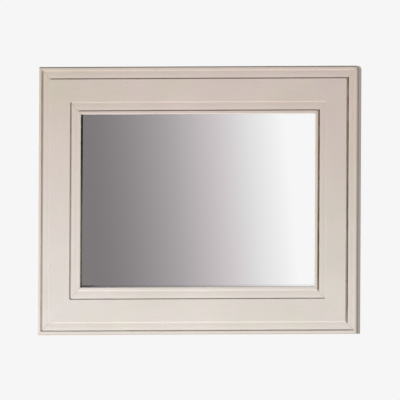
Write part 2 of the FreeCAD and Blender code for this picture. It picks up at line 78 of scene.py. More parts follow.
def rounded(corners):
    """A closed profile in (inset, depth) with each corner (inset, depth, radius) rounded."""
    points = []
    for index, (inset, depth, radius) in enumerate(corners):
        corner = Vector((inset, depth))
        if radius == 0:
            points.append(corner)
            continue
        before = (Vector(corners[index - 1][:2]) - corner).normalized()
        after = (Vector(corners[(index + 1) % len(corners)][:2]) - corner).normalized()
        half_angle = before.angle(after) / 2
        centre = corner + (before + after).normalized() * radius / math.sin(half_angle)
        start = corner + before * radius / math.tan(half_angle) - centre
        turn = start.angle_signed(corner + after * radius / math.tan(half_angle) - centre)
        points += [centre + Matrix.Rotation(-turn * step / ARC_STEPS, 2) @ start
                   for step in range(ARC_STEPS + 1)]
    return points


def supported(points):
    """The same profile with points added near the ends of each long side and along it."""
    denser = []
    for index, start in enumerate(points):
        end = points[(index + 1) % len(points)]
        span = (end - start).length
        denser.append(start)
        if span < 3 * SUPPORT_GAPS[1]:
            continue
        count = max(1, math.ceil(span / LONGEST_SPAN))
        middles = [span * step / count for step in range(1, count)]
        places = [*SUPPORT_GAPS, *middles, *[span - gap for gap in reversed(SUPPORT_GAPS)]]
        denser += [start.lerp(end, place / span) for place in places]
    return denser


def bead(start, end):
    """The shallow arc of a bead between two insets on the sunk bed, ends included, as corners."""
    middle, half = (start + end) / 2, (end - start) / 2
    return [(middle + half * share, BED_SINK - BEAD_CROWN * (1 - share ** 2), 0)
            for share in [2 * step / BEAD_STEPS - 1 for step in range(BEAD_STEPS + 1)]]


def tongue(line, length):
    """A square tongue, or the groove it enters, on the glue line between two strips, as corners."""
    return [(line, TONGUE_FRONT, 0), (line + length, TONGUE_FRONT, 0),
            (line + length, TONGUE_BACK, 0), (line, TONGUE_BACK, 0)]


outer_tongue = tongue(FRIEZE_START, TONGUE_LENGTH)
inner_tongue = tongue(FRIEZE_END, -TONGUE_LENGTH)
OUTER_PROFILE = [
    (0, 0, RIM_ROUNDING), (RIM_END, 0, ARRIS_ROUNDING), *bead(RIM_END, FRIEZE_START),
    *outer_tongue, (FRIEZE_START, STRIP_THICKNESS, 0), (BACK_LEG_WIDTH, STRIP_THICKNESS, 0),
    (BACK_LEG_WIDTH, FRAME_DEPTH, 0), (0, FRAME_DEPTH, 0),
]
FRIEZE_PROFILE = [
    (FRIEZE_START, 0, ARRIS_ROUNDING), (FRIEZE_END, 0, ARRIS_ROUNDING), *inner_tongue,
    (FRIEZE_END, STRIP_THICKNESS, 0), (FRIEZE_START, STRIP_THICKNESS, 0), *reversed(outer_tongue),
]
INNER_PROFILE = [
    *bead(FRIEZE_END, LIP_START), (LIP_START, 0, ARRIS_ROUNDING), (SIGHT_EDGE, 0, SIGHT_ROUNDING),
    (SIGHT_EDGE, LIP_THICKNESS, 0), (REBATE_EDGE, LIP_THICKNESS, 0),
    (REBATE_EDGE, STRIP_THICKNESS, 0), (FRIEZE_END, STRIP_THICKNESS, 0), *reversed(inner_tongue),
]
# The arrises that wear; how far each step line is eased where it turns at a mitre, and how far to
# its sides and in from the outer corner the easing fades; and the depth that counts as the front.
ARRISES = [(inset, 0) for inset in (RIM_END, FRIEZE_START, FRIEZE_END, LIP_START, SIGHT_EDGE)]
EASED_STEPS = {RIM_END: 0.002, FRIEZE_START: 0.002, FRIEZE_END: 0.005, LIP_START: 0.004,
               SIGHT_EDGE: 0.001}
EASE_FADE = 0.01
CORNER_REACH = 0.005
FRONT_LIMIT = 0.0045


def drawn(name, points, facts=(), closed=True):
    """A line through points, with the facts of each point stored on it as named numbers."""
    mesh = bpy.data.meshes.new(name)
    count = len(points)
    mesh.from_pydata([(*point, 0)[:3] for point in points],
                     [(index, (index + 1) % count) for index in range(count - (not closed))], [])
    for fact in facts[0] if facts else ():
        values = [row[fact] for row in facts]
        mesh.attributes.new(fact, "FLOAT", "POINT").data.foreach_set("value", values)
    return mesh


def strip_profile(corners, toning_and_shade, reach, edge_toning_and_shade, edge_depth):
    """A strip's profile, each point with its place, what it is near to and its toning and painted
    shade.
    """
    points = supported(rounded(corners))[::-1]
    facts = []
    for point in points:
        # the nearest toned quirk's toning and painted shade, as its strength at the start and the
        # end
        quirk, *washes = min(
            ((point - Vector((inset - outwards, BED_SINK - forwards))).length, *strengths)
            for inset, (outwards, forwards, *strengths) in toning_and_shade.items())
        # on the outer rim, the outer edge's wear and painted shade, as its strength
        if point.x < RIM_END / 2:
            washes = edge_toning_and_shade, edge_toning_and_shade
        facts.append({
            "inset": point.x, "depth": point.y, "quirk": quirk / reach,
            "first wash": washes[0], "last wash": washes[1],
            "arris": min((point - Vector(place)).length for place in ARRISES),
            "rim": math.hypot(point.x, point.y - edge_depth),
            "swing": max(ease * max(0, 1 - abs(point.x - step) / EASE_FADE)
                         for step, ease in EASED_STEPS.items()),
            "edge": max(0, 1 - point.x / CORNER_REACH),
            "front": float(point.y < FRONT_LIMIT)})
    return drawn("strip profile", points, facts)


def add_node(tree, kind, *inputs, **named):
    """Add a node of a kind, or take up one that is there, with its settings and its inputs.

    Capitalised names are inputs, with _ for a space, and the others are settings. Inputs without
    a name follow the sockets in use. A node given as an input stands for its first output in use.
    """
    node = kind
    if isinstance(kind, str):
        families = (tree.bl_idname.removesuffix("Tree"), "ShaderNode", "Node")
        node = tree.nodes.new(next(family + kind for family in families
                                   if hasattr(bpy.types, family + kind)))
    for name, value in named.items():
        if name[0].islower():
            setattr(node, name, value)
    sockets = [socket for socket in node.inputs if socket.enabled]
    by_name = {socket.name.replace(" ", "_"): socket for socket in sockets}
    pairs = [*zip(sockets, inputs),
             *[(by_name[name], value) for name, value in named.items() if name[0].isupper()]]
    for socket, value in pairs:
        if isinstance(value, bpy.types.Node):
            value = next(output for output in value.outputs if output.enabled)
        if isinstance(value, bpy.types.NodeSocket):
            tree.links.new(value, socket)
        else:
            socket.default_value = value
    return node


def geometry_tree(name, **inputs):
    """A Geometry Nodes tree that takes and gives geometry, with named inputs of some kinds."""
    tree = bpy.data.node_groups.new(name, "GeometryNodeTree")
    tree.interface.new_socket("Geometry", in_out="OUTPUT", socket_type="NodeSocketGeometry")
    for kind, names in {"Geometry": ("Geometry",), **inputs}.items():
        for title in names:
            tree.interface.new_socket(title, in_out="INPUT", socket_type=f"NodeSocket{kind}")
    add = partial(add_node, tree)
    return tree, add, add("GroupInput").outputs


SHARP_FOLD = 0.6


def with_sharp_edges(add, geometry):
    """Mark the edges that fold by more than a third of a right angle, so that they stay crisp."""
    sharp = add("Math", add("InputMeshEdgeAngle"), SHARP_FOLD, operation="GREATER_THAN")
    return add("StoreNamedAttribute", geometry, Name="sharp_edge", Value=sharp,
               data_type="BOOLEAN", domain="EDGE")


def finish_tree(add, geometry, *finishes):
    """Make everything real, give its faces their finishes, and hand it out."""
    made = add("RealizeInstances", geometry)
    for finish, faces in finishes:
        made = add("SetMaterial", made, Selection=faces, Material=finish)
    add("GroupOutput", made)


# A face looks a way when that way's part of its normal is over this; and how far short of the
# rebate's side and floor its stain begins.
FACING = 0.5
STAIN_BEFORE_SIDE = 0.0005
STAIN_BEFORE_FLOOR = 0.0003
# A joint groove under this depth is none.
LEAST_GROOVE = 0.0001


def mitred_strip_tree():
    """Geometry Nodes: sweep a profile along a member and shear its ends to the mitres."""
    tree, add, given = geometry_tree(
        "mitred strip", Int=("Corner rings", "Middle rings"),
        Float=("Length", "Start ease", "End ease", "Joint groove", "Wander", "Grain shift"),
        Material=("Paint", "Bare wood", "Rebate stain"))
    corner_rings, groove = given["Corner rings"], given["Joint groove"]

    profile = add("MeshToCurve", given["Geometry"])
    rings = add("Math", corner_rings, 2, given["Middle rings"], operation="MULTIPLY_ADD")
    path = add("ResampleCurve", add("CurvePrimitiveLine", End=(1, 0, 0)), Count=rings)
    path = add("StoreNamedAttribute", path, Name="station", Value=add("InputIndex"))
    swept = add("CurveToMesh", path, profile, Fill_Caps=True)
    read = {name: add("InputNamedAttribute", Name=name) for name in
            ("station", "inset", "depth", "first wash", "last wash", "swing", "edge", "front")}

    # the rings near an end swing from the mitre to square across, and are eased as they turn
    last = add("Math", rings, 1, operation="SUBTRACT")
    from_end = add("Math", last, read["station"], operation="SUBTRACT")
    near = add("Math", read["station"], from_end, operation="MINIMUM")
    turn = add("MapRange", near, 0, corner_rings, math.pi / 4, 0)
    cosine, sine = [add("Math", turn, operation=way) for way in ("COSINE", "SINE")]
    at_end = add("Math", read["station"], from_end, operation="GREATER_THAN")
    ease = add("Mix", at_end, given["Start ease"], given["End ease"])
    run = add("Math", cosine, sine, operation="SUBTRACT")
    bulge = add("Math", 1, cosine, operation="SUBTRACT")
    outer = add("Math", ease, read["edge"], read["swing"], operation="MULTIPLY_ADD")
    inset = add("Math", bulge, outer, read["inset"], operation="MULTIPLY_ADD")
    first_ring = add("Math", near, 0.5, operation="LESS_THAN")
    sunk = add("Math", first_ring, groove, operation="MULTIPLY")
    depth = add("Math", sunk, read["front"], read["depth"], operation="MULTIPLY_ADD")
    past_corner = add("Math", last, corner_rings, operation="SUBTRACT")
    share = add("MapRange", read["station"], corner_rings, past_corner)
    start = add("Math", run, ease, inset, operation="MULTIPLY_ADD")
    end = add("Math", given["Length"], start, operation="SUBTRACT")
    along = add("Mix", share, start, end)

    # planed faces wander a little, but never out past the frame's own outer faces
    board = add("CombineXYZ", along, depth, inset)
    shift = add("CombineXYZ", given["Grain shift"])
    grain = add("VectorMath", board, shift, operation="ADD")
    wave = add("TexNoise", grain, Scale=14, Detail=2).outputs["Color"]
    placed = add("VectorMath", wave, (0.5, 0.5, 0.5), operation="SUBTRACT")
    for operation, value in (("SCALE", given["Wander"]), ("MULTIPLY", (0, 1, 1)), ("ADD", board),
                             ("MAXIMUM", (-1, 0, 0)), ("MINIMUM", (2, FRAME_DEPTH, 1))):
        placed = add("VectorMath", placed, value, operation=operation)
    strip = add("SetPosition", swept, Position=placed)

    # what the paint reads: the place on the board, the distance to the mitre and the toning with its
    # painted shade
    joint_start = add("Math", along, inset, operation="SUBTRACT")
    joint_end = add("Math", given["Length"], inset, operation="SUBTRACT")
    joint_end = add("Math", joint_end, along, operation="SUBTRACT")
    joint = add("Math", joint_start, joint_end, operation="MINIMUM")
    flush = add("Math", groove, LEAST_GROOVE, operation="LESS_THAN")
    joint = add("Math", joint, flush, operation="ADD")
    wash = add("Mix", share, read["first wash"], read["last wash"])
    for name, kind, value in (("board", "FLOAT_VECTOR", grain), ("joint", "FLOAT", joint),
                              ("wash", "FLOAT", wash)):
        strip = add("StoreNamedAttribute", strip, Name=name, Value=value, data_type=kind)

    # the back and the inner side of the back leg stay bare; the rebate is stained
    normal = add("SeparateXYZ", add("InputNormal")).outputs
    place = add("SeparateXYZ", add("InputPosition")).outputs
    faces_back, faces_in, behind, past_side, past_floor = [
        add("Math", value, limit, operation="GREATER_THAN")
        for value, limit in ((normal["Y"], FACING), (normal["Z"], FACING),
                             (place["Y"], STRIP_THICKNESS),
                             (place["Z"], REBATE_EDGE - STAIN_BEFORE_SIDE),
                             (place["Y"], LIP_THICKNESS - STAIN_BEFORE_FLOOR))]
    leg_side = add("Math", faces_in, behind, operation="MULTIPLY")
    is_bare = add("Math", faces_back, leg_side, operation="MAXIMUM")
    in_rebate = add("Math", past_side, past_floor, operation="MULTIPLY")
    finish_tree(add, with_sharp_edges(add, strip), (given["Paint"], True),
                (given["Bare wood"], is_bare), (given["Rebate stain"], in_rebate))
    return tree


def linear(code):
    """A colour from its sRGB hex code, as linear RGBA."""
    shares = [int(code[place:place + 2], 16) / 255 for place in (0, 2, 4)]
    return (*[share / 12.92 if share <= 0.04045 else ((share + 0.055) / 1.055) ** 2.4
              for share in shares], 1.0)


def new_material(name, code, roughness, metallic=0.0):
    """A material, the function that adds to its tree, and its shader with its base values."""
    material = bpy.data.materials.new(name)
    material.use_nodes = True
    material.diffuse_color = linear(code)
    add = partial(add_node, material.node_tree)
    shader = add(material.node_tree.nodes["Principled BSDF"], Base_Color=linear(code),
                 Roughness=roughness, Metallic=metallic)
    return material, add, shader


# Most values of a noise lie between these.
NOISE_SPREAD = (0.3, 0.7)
# The coat low down and high up, where it is warmer and darker as painted shade, and the heights
# between which it changes; how far from the top left corner it has yellowed; and the two batches of
# paint.
COAT_LOW, COAT_HIGH = linear("DFD8D0"), linear("DFD1C7")
TOP_SHADE_HEIGHTS = (0.1, 0.82)
YELLOWED_REACH = (0.06, 0.42)
YELLOWED = (0.945, 0.972, 0.92, 1)
PINKER_BATCH, GREENER_BATCH = (1.006, 0.997, 1.012, 1), (0.988, 1.0, 0.972, 1)
# What lies on the coat, and how far it reaches from the line or edge that holds it. The brown in the
# quirks and on the outer edge is partly painted shade.
TONING_AND_SHADE_BROWN, TONE_AND_SHADE_SHARE = linear("664B18"), (0.4, 1)
RIM_BROWN_AND_SHADE, RIM_REACH = linear("7C684C"), (0.0024, 0.0044)
GLUE_BROWN, GLUE_REACH = linear("9C8768"), (0.0002, 0.0009)
KNOCK_BROWN, KNOCK_REACH = linear("8C765C"), (0.0006, 0.0018)
# Small chips in the paint of the front, as their place in the frame and their radius.
CHIPS = [(-0.5512, 0.2335, 0.0024), (0.4800, 0.8200, 0.0022), (0.5585, 0.0850, 0.0020),
         (-0.3500, 0.1260, 0.0018), (-0.2665, 0.8460, 0.0018)]
# The stain on the lip's inner wall: the depths where it begins, how much further forward it comes
# at the sides and bottom, and the heights between which it thins.
LIP_STAIN = linear("241B12")
LIP_STAIN_DEPTHS = (0.0012, 0.0024)
LIP_STAIN_FORWARD = 0.0011
LIP_STAIN_FADE = 0.0004
INNER_WALL_START = SIGHT_EDGE - 0.0016
TOP_LIP_START = FRAME_HEIGHT - SIGHT_EDGE - 0.002
THINNING_HEIGHTS = (0.37, 0.6)


def eggshell_paint():
    """Off-white oil eggshell, brushed along each member over filled pine and toned in the quirks.

    It has a soft sheen and faint brush lines. The brown in the quirks whose steps face away from the
    key light and on the outer edge is toning and wear and also painted shade; the coat is warmer and
    darker towards the top as painted shade.
    """
    material, add, shader = new_material("eggshell_paint_off_white", "DFD6CD", 0.42)
    board = add("Attribute", attribute_name="board").outputs["Vector"]
    near = {name: add("Attribute", attribute_name=name).outputs["Fac"]
            for name in ("quirk", "wash", "arris", "rim", "joint")}
    here = add("TexCoord").outputs["Object"]
    _, depth, inset = add("SeparateXYZ", board).outputs
    height = add("SeparateXYZ", here).outputs["Z"]

    # the coat: uneven in hand-sized clouds, warmer and darker towards the top as painted shade, and
    # yellowed at the top left corner
    clouds = add("TexNoise", board, Scale=5, Detail=3)
    uneven = add("MapRange", clouds, *NOISE_SPREAD, 0.975, 1.025)
    shaded_top = add("MapRange", height, *TOP_SHADE_HEIGHTS, interpolation_type="SMOOTHSTEP")
    coat = add("Mix", shaded_top, COAT_LOW, COAT_HIGH, data_type="RGBA")
    away = add("VectorMath", here, (-FRAME_WIDTH / 2, 0, FRAME_HEIGHT), operation="DISTANCE")
    yellowed = add("MapRange", away, *YELLOWED_REACH, 1, 0, interpolation_type="SMOOTHSTEP")
    # the two batches meet in soft blotches
    batches = add("TexNoise", here, Scale=9, Detail=2)
    greener = add("MapRange", batches, 0.42, 0.62)
    tint = add("Mix", greener, PINKER_BATCH, GREENER_BATCH, data_type="RGBA")
    # brush lines: bristle marks drawn 4 mm wide, where real ones are under 1 mm
    stretched = add("Mapping", board, Scale=(7, 240, 240))
    bristles = add("TexNoise", stretched, Scale=1, Detail=3, Roughness=0.6)
    lines = add("MapRange", bristles, *NOISE_SPREAD, 0.975, 1.02)
    for share, layer in ((1, uneven), (yellowed, YELLOWED), (1, tint), (1, lines)):
        coat = add("Mix", share, coat, layer, data_type="RGBA", blend_type="MULTIPLY")

    # brown toning and painted shade in the quirks whose steps face away from the key light, uneven
    # along them
    patches = add("TexNoise", board, Scale=22, Detail=4)
    held = add("MapRange", patches, *NOISE_SPREAD, 0.64, 1)
    toning_and_shade = add("MapRange", near["quirk"], *TONE_AND_SHADE_SHARE, 1, 0, interpolation_type="SMOOTHSTEP")
    for share in (held, near["wash"]):
        toning_and_shade = add("Math", toning_and_shade, share, operation="MULTIPLY")
    # the outer edge: worn to the brown undercoat, and darkened too as painted shade, most on the top
    # and right edges, which face away from the key light
    by_outer_edge = add("MapRange", near["rim"], *RIM_REACH, 1, 0, interpolation_type="SMOOTHSTEP")
    edge_wear_and_shade = add("Math", by_outer_edge, near["wash"], operation="MULTIPLY")
    # the glue line of each mitre, half filled with paint
    in_joint = add("MapRange", near["joint"], *GLUE_REACH, 0.7, 0)
    # rubbed arrises and a few small knocks, where the undercoat shows too
    knocks = add("TexNoise", board, Scale=60, Detail=2)
    knocked = add("MapRange", knocks, 0.66, 0.72)
    on_arris = add("MapRange", near["arris"], *KNOCK_REACH, 0.8, 0)
    chipped = add("Math", knocked, on_arris, operation="MULTIPLY")
    for across, up, radius in CHIPS:
        gap = add("VectorMath", here, (across, -FRAME_DEPTH / 2, up), operation="DISTANCE")
        chip = add("MapRange", gap, radius / 2, radius, 0.55, 0)
        chipped = add("Math", chipped, chip, operation="MAXIMUM")
    # the lip's inner wall: the rebate's dark stain comes forward almost to the front
    ragged = add("TexNoise", board, Scale=40, Detail=2)
    border = add("MapRange", ragged, 0, 1, *LIP_STAIN_DEPTHS)
    below_top = add("Math", height, TOP_LIP_START, operation="LESS_THAN")
    forward = add("Math", below_top, LIP_STAIN_FORWARD, operation="MULTIPLY")
    border = add("Math", border, forward, operation="SUBTRACT")
    past = add("Math", depth, border, operation="SUBTRACT")
    stain = add("MapRange", past, 0, LIP_STAIN_FADE)
    inner_wall = add("Math", inset, INNER_WALL_START, operation="GREATER_THAN")
    thinned = add("MapRange", height, *THINNING_HEIGHTS, 0.72, 1)
    for share in (inner_wall, thinned):
        stain = add("Math", stain, share, operation="MULTIPLY")
    for share, colour in ((toning_and_shade, TONING_AND_SHADE_BROWN), (edge_wear_and_shade, RIM_BROWN_AND_SHADE), (in_joint, GLUE_BROWN),
                          (chipped, KNOCK_BROWN), (stain, LIP_STAIN)):
        coat = add("Mix", share, coat, colour, data_type="RGBA")

    # the coat has a soft sheen, and the stain on the inner wall has none
    gloss = add("MapRange", clouds, 0, 1, 0.38, 0.5)
    sheen = add("Mix", stain, gloss, 0.95)
    mirrored = add("MapRange", stain, 0, 1, 0.5, 0.06)
    skin = add("TexNoise", board, Scale=500, Detail=2)
    relief = add("Math", bristles, 2, skin, operation="MULTIPLY_ADD")
    bump = add("Bump", Height=relief, Distance=0.00005, Strength=0.6)
    add(shader, Base_Color=coat, Roughness=sheen, Specular_IOR_Level=mirrored, Normal=bump)
    return material


def bare_pine():
    """Planed pine, left bare at the back: straight yellow grain with darker lines of late wood."""
    material, add, shader = new_material("bare_pine_planed", "CDAE82", 0.62)
    board = add("Attribute", attribute_name="board").outputs["Vector"]
    # each of the three strips is cut from another plank
    inset = add("SeparateXYZ", board).outputs["Z"]
    past = [add("Math", inset, joint, operation="GREATER_THAN")
            for joint in (FRIEZE_START, FRIEZE_END)]
    plank = add("Math", *past, operation="ADD")
    own = add("VectorMath", board, add("CombineXYZ", X=plank, Z=plank), operation="ADD")
    rings = add("TexWave", add("Mapping", own, Scale=(1.6, 22, 22)), Scale=2.2, Distortion=9,
                Detail=3, Detail_Scale=0.7, bands_direction="DIAGONAL", wave_profile="SAW")
    late_wood = add("Math", rings.outputs["Fac"], 2.2, operation="POWER")
    wood = add("Mix", late_wood, linear("D8BE96"), linear("BC9765"), data_type="RGBA")
    fibres = add("TexNoise", add("Mapping", board, Scale=(20, 900, 900)), Scale=1, Detail=3)
    shade = add("MapRange", fibres, *NOISE_SPREAD, 0.9, 1.05)
    colour = add("Mix", 1, wood, shade, data_type="RGBA", blend_type="MULTIPLY")
    bump = add("Bump", Height=fibres, Distance=0.0001, Strength=0.5)
    add(shader, Base_Color=colour, Normal=bump)
    return material


def mottled(name, code, roughness, dark, pale, scale, detail=2, metallic=0.0, stretch=None,
            on_board=False):
    """A material that wavers between two shades, in spots of one over its scale in metres.

    They may be stretched by axis, and lie where the piece is or along the board it was cut from.
    """
    material, add, shader = new_material(name, code, roughness, metallic)
    where = (add("Attribute", attribute_name="board").outputs["Vector"] if on_board
             else add("TexCoord").outputs["Object"])
    if stretch:
        where = add("Mapping", where, Scale=stretch)
    spots = add("TexNoise", where, Scale=scale, Detail=detail)
    colour = add("Mix", spots, linear(dark), linear(pale), data_type="RGBA")
    add(shader, Base_Color=colour)
    return material, add, shader


# Thin black-brown stain, brushed into the rebate so that the mirror shows no pale wood: streaky.
rebate_stain = mottled("rebate_stain_black_brown", "221A12", 0.7, "17110C", "35291D", 1,
                       stretch=(12, 300, 300), on_board=True)[0]

DOUBLES = 1e-7


def face_outwards(mesh):
    """Merge doubles and turn a closed shell's faces outwards."""
    shell = bmesh.new()
    shell.from_mesh(mesh)
    bmesh.ops.remove_doubles(shell, verts=shell.verts, dist=DOUBLES)
    bmesh.ops.recalc_face_normals(shell, faces=shell.faces)
    shell.to_mesh(mesh)
    shell.free()


def in_scene(name, data):
    """A new object in the scene, at the origin."""
    placed = bpy.data.objects.new(name, data)
    bpy.context.scene.collection.objects.link(placed)
    return placed


def made_by(tree, source, name, values):
    """The plain mesh that a tree makes of a source mesh with its named inputs set."""
    draft = in_scene("draft", source)
    maker = draft.modifiers.new("maker", "NODES")
    maker.node_group = tree
    for socket in tree.interface.items_tree:
        if socket.in_out == "INPUT" and socket.name in values:
            maker[socket.identifier] = values[socket.name]
    depsgraph = bpy.context.evaluated_depsgraph_get()
    mesh = bpy.data.meshes.new_from_object(draft.evaluated_get(depsgraph), depsgraph=depsgraph)
    mesh.name = name
    bpy.data.objects.remove(draft)
    face_outwards(mesh)
    return mesh


def fit(name, mesh, body, slot, *replaced):
    """A finished piece at the origin, riding on a body in place of its CAD nodes."""
    piece = in_scene(name, mesh)
    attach(piece, body)
    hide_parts(*replaced)


OUTER_EASE = 0.0025
TOP_RIGHT_EASE = 0.014
# Each member as its length, the place of its own origin in the frame, its turn in degrees about the
# depth, its shift along the grain, and the easing of its outer corner at its start and end. Then its
# brown toning and painted shade, which lie only in the quirks whose steps face away from the key
# light: how far outwards and forwards of each of them it is centred, so that it lies where the
# step's shadow falls, and how strong it is at the start and the end, how far it reaches, and how
# strong and how deep it lies on the outer edge.
MEMBERS = {
    "top": (FRAME_WIDTH, (FRAME_WIDTH / 2, FRAME_HEIGHT), 180, 0.0, (TOP_RIGHT_EASE, OUTER_EASE),
            ({FRIEZE_START: (0, 0, 0.94, 0.94), LIP_START: (0, 0, 0.84, 0.84)}, 0.0024, 0.75, 0)),
    "bottom": (FRAME_WIDTH, (-FRAME_WIDTH / 2, 0), 0, 3.1, (OUTER_EASE, OUTER_EASE),
               ({RIM_END: (0.0012, 0.0032, 0.12, 0.5), FRIEZE_END: (0, 0, 0.5, 0.62)},
                0.0022, 0.5, 0)),
    "left": (FRAME_HEIGHT, (-FRAME_WIDTH / 2, FRAME_HEIGHT), 90, 6.3, (OUTER_EASE, OUTER_EASE),
             ({RIM_END: (0.0012, 0.003, 0.8, 0.5), FRIEZE_END: (0.0004, 0.0012, 0.95, 0.8)},
              0.0021, 0.3, 0)),
    "right": (FRAME_HEIGHT, (FRAME_WIDTH / 2, 0), -90, 9.7, (OUTER_EASE, TOP_RIGHT_EASE),
              ({FRIEZE_START: (0.0046, 0, 1.2, 1.2), LIP_START: (0.0034, 0, 1.2, 1.25)},
               0.0036, 0.85, 0.0075)),
}
FRIEZE_NAMES = {"top": "top_rail", "bottom": "bottom_rail", "left": "left_stile",
                "right": "right_stile"}
# Each kind of strip as its profile and how far its faces are drawn back along the mitre.
STRIPS = {"outer_moulding": (OUTER_PROFILE, 0.00035), "frieze": (FRIEZE_PROFILE, 0.0),
          "inner_moulding": (INNER_PROFILE, 0.00035)}
SWEEP = {"Corner rings": 5, "Middle rings": 21, "Wander": 0.00006,
         "Paint": eggshell_paint(), "Bare wood": bare_pine(), "Rebate stain": rebate_stain}


def member_to_frame(side):
    """The turn and shift from a member's own (along, depth, inset) to the frame."""
    (across, up), turn = MEMBERS[side][1:3]
    return (Matrix.Translation((across, -FRAME_DEPTH / 2, up))
            @ Matrix.Rotation(math.radians(turn), 4, "Y"))


strip_tree = mitred_strip_tree()
for kind, (corners, groove) in STRIPS.items():
    for side, (length, _, _, grain_shift, (start_ease, end_ease), toning_and_shade) in MEMBERS.items():
        node = FRIEZE_NAMES[side] if kind == "frieze" else f"{kind}_{side}"
        strip = made_by(strip_tree, strip_profile(corners, *toning_and_shade), node, {
            "Length": length, "Start ease": start_ease, "End ease": end_ease,
            "Joint groove": groove, "Grain shift": grain_shift, **SWEEP})
        strip.transform(member_to_frame(side))
        fit(f"{node}_painted", strip, "frame", "frame_paint", node)


# ---- Biscuits ----
# Pressed beech biscuits that swell in their slots and lock the mitres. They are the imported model's
# own solids, hidden in the joints.

def dress(names, material):
    """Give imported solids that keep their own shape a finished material."""
    for name in names:
        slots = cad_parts[name].data.materials
        slots.clear()
        slots.append(material)


CORNERS = ("top_left", "top_right", "bottom_left", "bottom_right")
# Pressed beech: pinkish tan with short dark flecks along the press's grain.
beech = mottled("beech_pressed", "C49A6C", 0.7, "A97F55", "D2AC80", 1, 3,
                stretch=(900, 300, 250))[0]
dress([f"mitre_biscuit_{corner}" for corner in CORNERS], beech)


# ---- Angle plates and all wood screws ----
# Flat steel angles over the mitres, stamped, drilled and bright zinc plated, and the pan-head
# screws of the whole back, plated yellow.

SHANK_RADIUS = 0.00175
SCREW_LENGTH = 0.012
SCREW_TIP = 0.003
SCREW_SIDES = 28
HEAD_RADIUS = 0.0035
HEAD_EDGE = 0.0007
HEAD_HEIGHT = 0.0022
HEAD_FULLNESS = 0.6
HEAD_STEPS = 8
RECESS_SPAN = 0.004
RECESS_WIDTH = 0.001
RECESS_DEPTH = 0.0012
RECESS_TAPER = 0.6
PLATE_BACK = 0.02
PLATE_INSET = 0.068
PLATE_HOLES = (0.094, 0.126)
BUTTON_SPACING = 0.3
BUTTON_INSET = 0.141
BUTTON_BACK = 0.0199
STRAP_BACK = 0.0195
STRAP_INSET = 0.08025
STRAP_HOLES = (0.215, 0.23)
# Each screw is driven home at another angle from the one before it.
SPIN_STEP = 2.4


def bright_zinc():
    """Bright zinc plate on stamped steel: blue-grey, softly mottled, with a fine drawn grain."""
    material, add, shader = mottled("zinc_plate_bright", "B9BCBE", 0.34, "A3A8AE", "CFCFCB", 160,
                                    3, metallic=1.0)
    worn = add("TexNoise", add("TexCoord").outputs["Object"], Scale=420, Detail=4)
    rough = add("MapRange", worn, 0, 1, 0.24, 0.46)
    bump = add("Bump", Height=worn, Distance=0.00004, Strength=0.4)
    add(shader, Roughness=rough, Normal=bump)
    return material


def turned_pieces_tree():
    """Geometry Nodes: turn a profile on its axis, cut a recess in it, and set it at each place."""
    tree, add, given = geometry_tree("turned pieces", Object=("Profile", "Recess"),
                                     Int=("Sides",), Material=("Finish",))
    circle = add("CurvePrimitiveCircle", Resolution=given["Sides"])
    path = add("StoreNamedAttribute", circle, Name="step", Value=add("InputIndex"))
    drawing, punch = [add("ObjectInfo", given[name]).outputs["Geometry"]
                      for name in ("Profile", "Recess")]
    swept = add("CurveToMesh", path, add("MeshToCurve", drawing))
    step, from_axis, height, spin = [add("InputNamedAttribute", Name=name)
                                     for name in ("step", "from axis", "height", "spin")]
    share = add("Math", step, given["Sides"], operation="DIVIDE")
    angle = add("Math", share, math.tau, operation="MULTIPLY")
    ways = [add("Math", angle, operation=way) for way in ("COSINE", "SINE")]
    across, up = [add("Math", from_axis, way, operation="MULTIPLY") for way in ways]
    turned = add("SetPosition", swept, Position=add("CombineXYZ", across, height, up))
    closed = add("MergeByDistance", turned, Distance=1e-6)
    cut = add("MeshBoolean", closed, punch, operation="DIFFERENCE")
    many = add("InstanceOnPoints", given["Geometry"], Instance=with_sharp_edges(add, cut),
               Rotation=add("CombineXYZ", Y=spin))
    finish_tree(add, many, (given["Finish"], True))
    return tree


def turning_profile(name, points):
    """An open drawing of a turned piece from axis to axis, each point as (radius, height)."""
    facts = [{"from axis": radius, "height": height} for radius, height in points]
    return in_scene(name, drawn(name, points, facts, closed=False))


def screw_profile():
    """A wood screw's tip, shank and pan head, its seat at height nought."""
    turns = [math.radians(90) * step / HEAD_STEPS for step in range(HEAD_STEPS)]
    rise = HEAD_HEIGHT - HEAD_EDGE
    return turning_profile("screw profile", [
        (0, -SCREW_LENGTH), (SHANK_RADIUS, SCREW_TIP - SCREW_LENGTH), (SHANK_RADIUS, 0),
        (HEAD_RADIUS, 0),
        *[(HEAD_RADIUS * math.cos(turn) ** HEAD_FULLNESS,
           HEAD_EDGE + rise * math.sin(turn) ** HEAD_FULLNESS) for turn in turns],
        (0, HEAD_EDGE + rise)])


def cross_recess():
    """The punch that leaves a tapered cross in a screw's head."""
    long, short = RECESS_SPAN / 2, RECESS_WIDTH / 2
    cross = [Matrix.Rotation(math.radians(90 * quarter), 2) @ Vector(corner)
             for quarter in range(4) for corner in ((long, short), (short, short), (short, long))]
    points = [(size * x, height, size * z)
              for size, height in ((RECESS_TAPER, HEAD_HEIGHT - RECESS_DEPTH),
                                   (2 - RECESS_TAPER, HEAD_HEIGHT + RECESS_DEPTH))
              for x, z in cross]
    count = len(cross)
    sides = [(index, (index + 1) % count, count + (index + 1) % count, count + index)
             for index in range(count)]
    mesh = bpy.data.meshes.new("cross recess")
    mesh.from_pydata(points, [], [[*range(count)], [*range(count, 2 * count)], *sides])
    face_outwards(mesh)
    return in_scene("cross recess", mesh)


def places_mesh(places):
    """Points at places in the frame, each with a spin of its own about the depth."""
    mesh = bpy.data.meshes.new("places")
    mesh.from_pydata(places, [], [])
    spins = [SPIN_STEP * number for number in range(len(places))]
    mesh.attributes.new("spin", "FLOAT", "POINT").data.foreach_set("value", spins)
    return mesh


